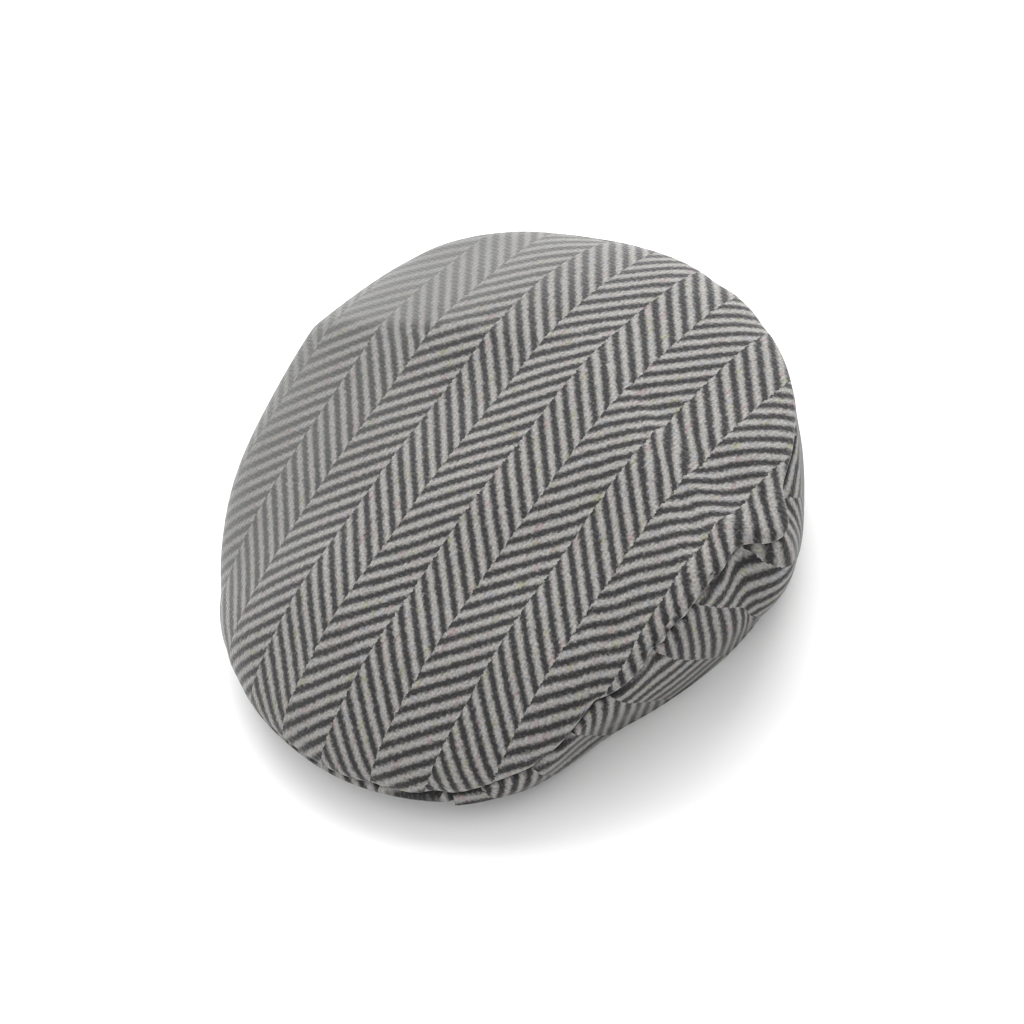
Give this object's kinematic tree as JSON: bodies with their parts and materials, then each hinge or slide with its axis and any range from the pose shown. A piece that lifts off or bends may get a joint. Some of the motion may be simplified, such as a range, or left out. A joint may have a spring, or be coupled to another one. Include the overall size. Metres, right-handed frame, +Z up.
{
  "type": "flat cap",
  "caption": "Low rounded flat cap in herringbone wool, its top panel drawn forward over a small stiff peak, with two side panels and an open hollow for the head.",
  "frame": {"origin": "centre of the bounding box, on the plane that the rim rests on", "axes": "+Z up, the front with the peak towards -Y, the wearer's left towards +X"},
  "size_m": [0.2242, 0.2374, 0.081],
  "materials": {
    "crown_top": "woven herringbone wool, matt",
    "side_left": "woven herringbone wool, matt",
    "side_right": "woven herringbone wool, matt",
    "peak": "stiff board covered in the same wool, matt"
  },
  "bodies": {
    "root": {"crown_top": "crown_top", "side_left": "side_left", "side_right": "side_right", "peak": "peak"}
  },
  "joints": []
}
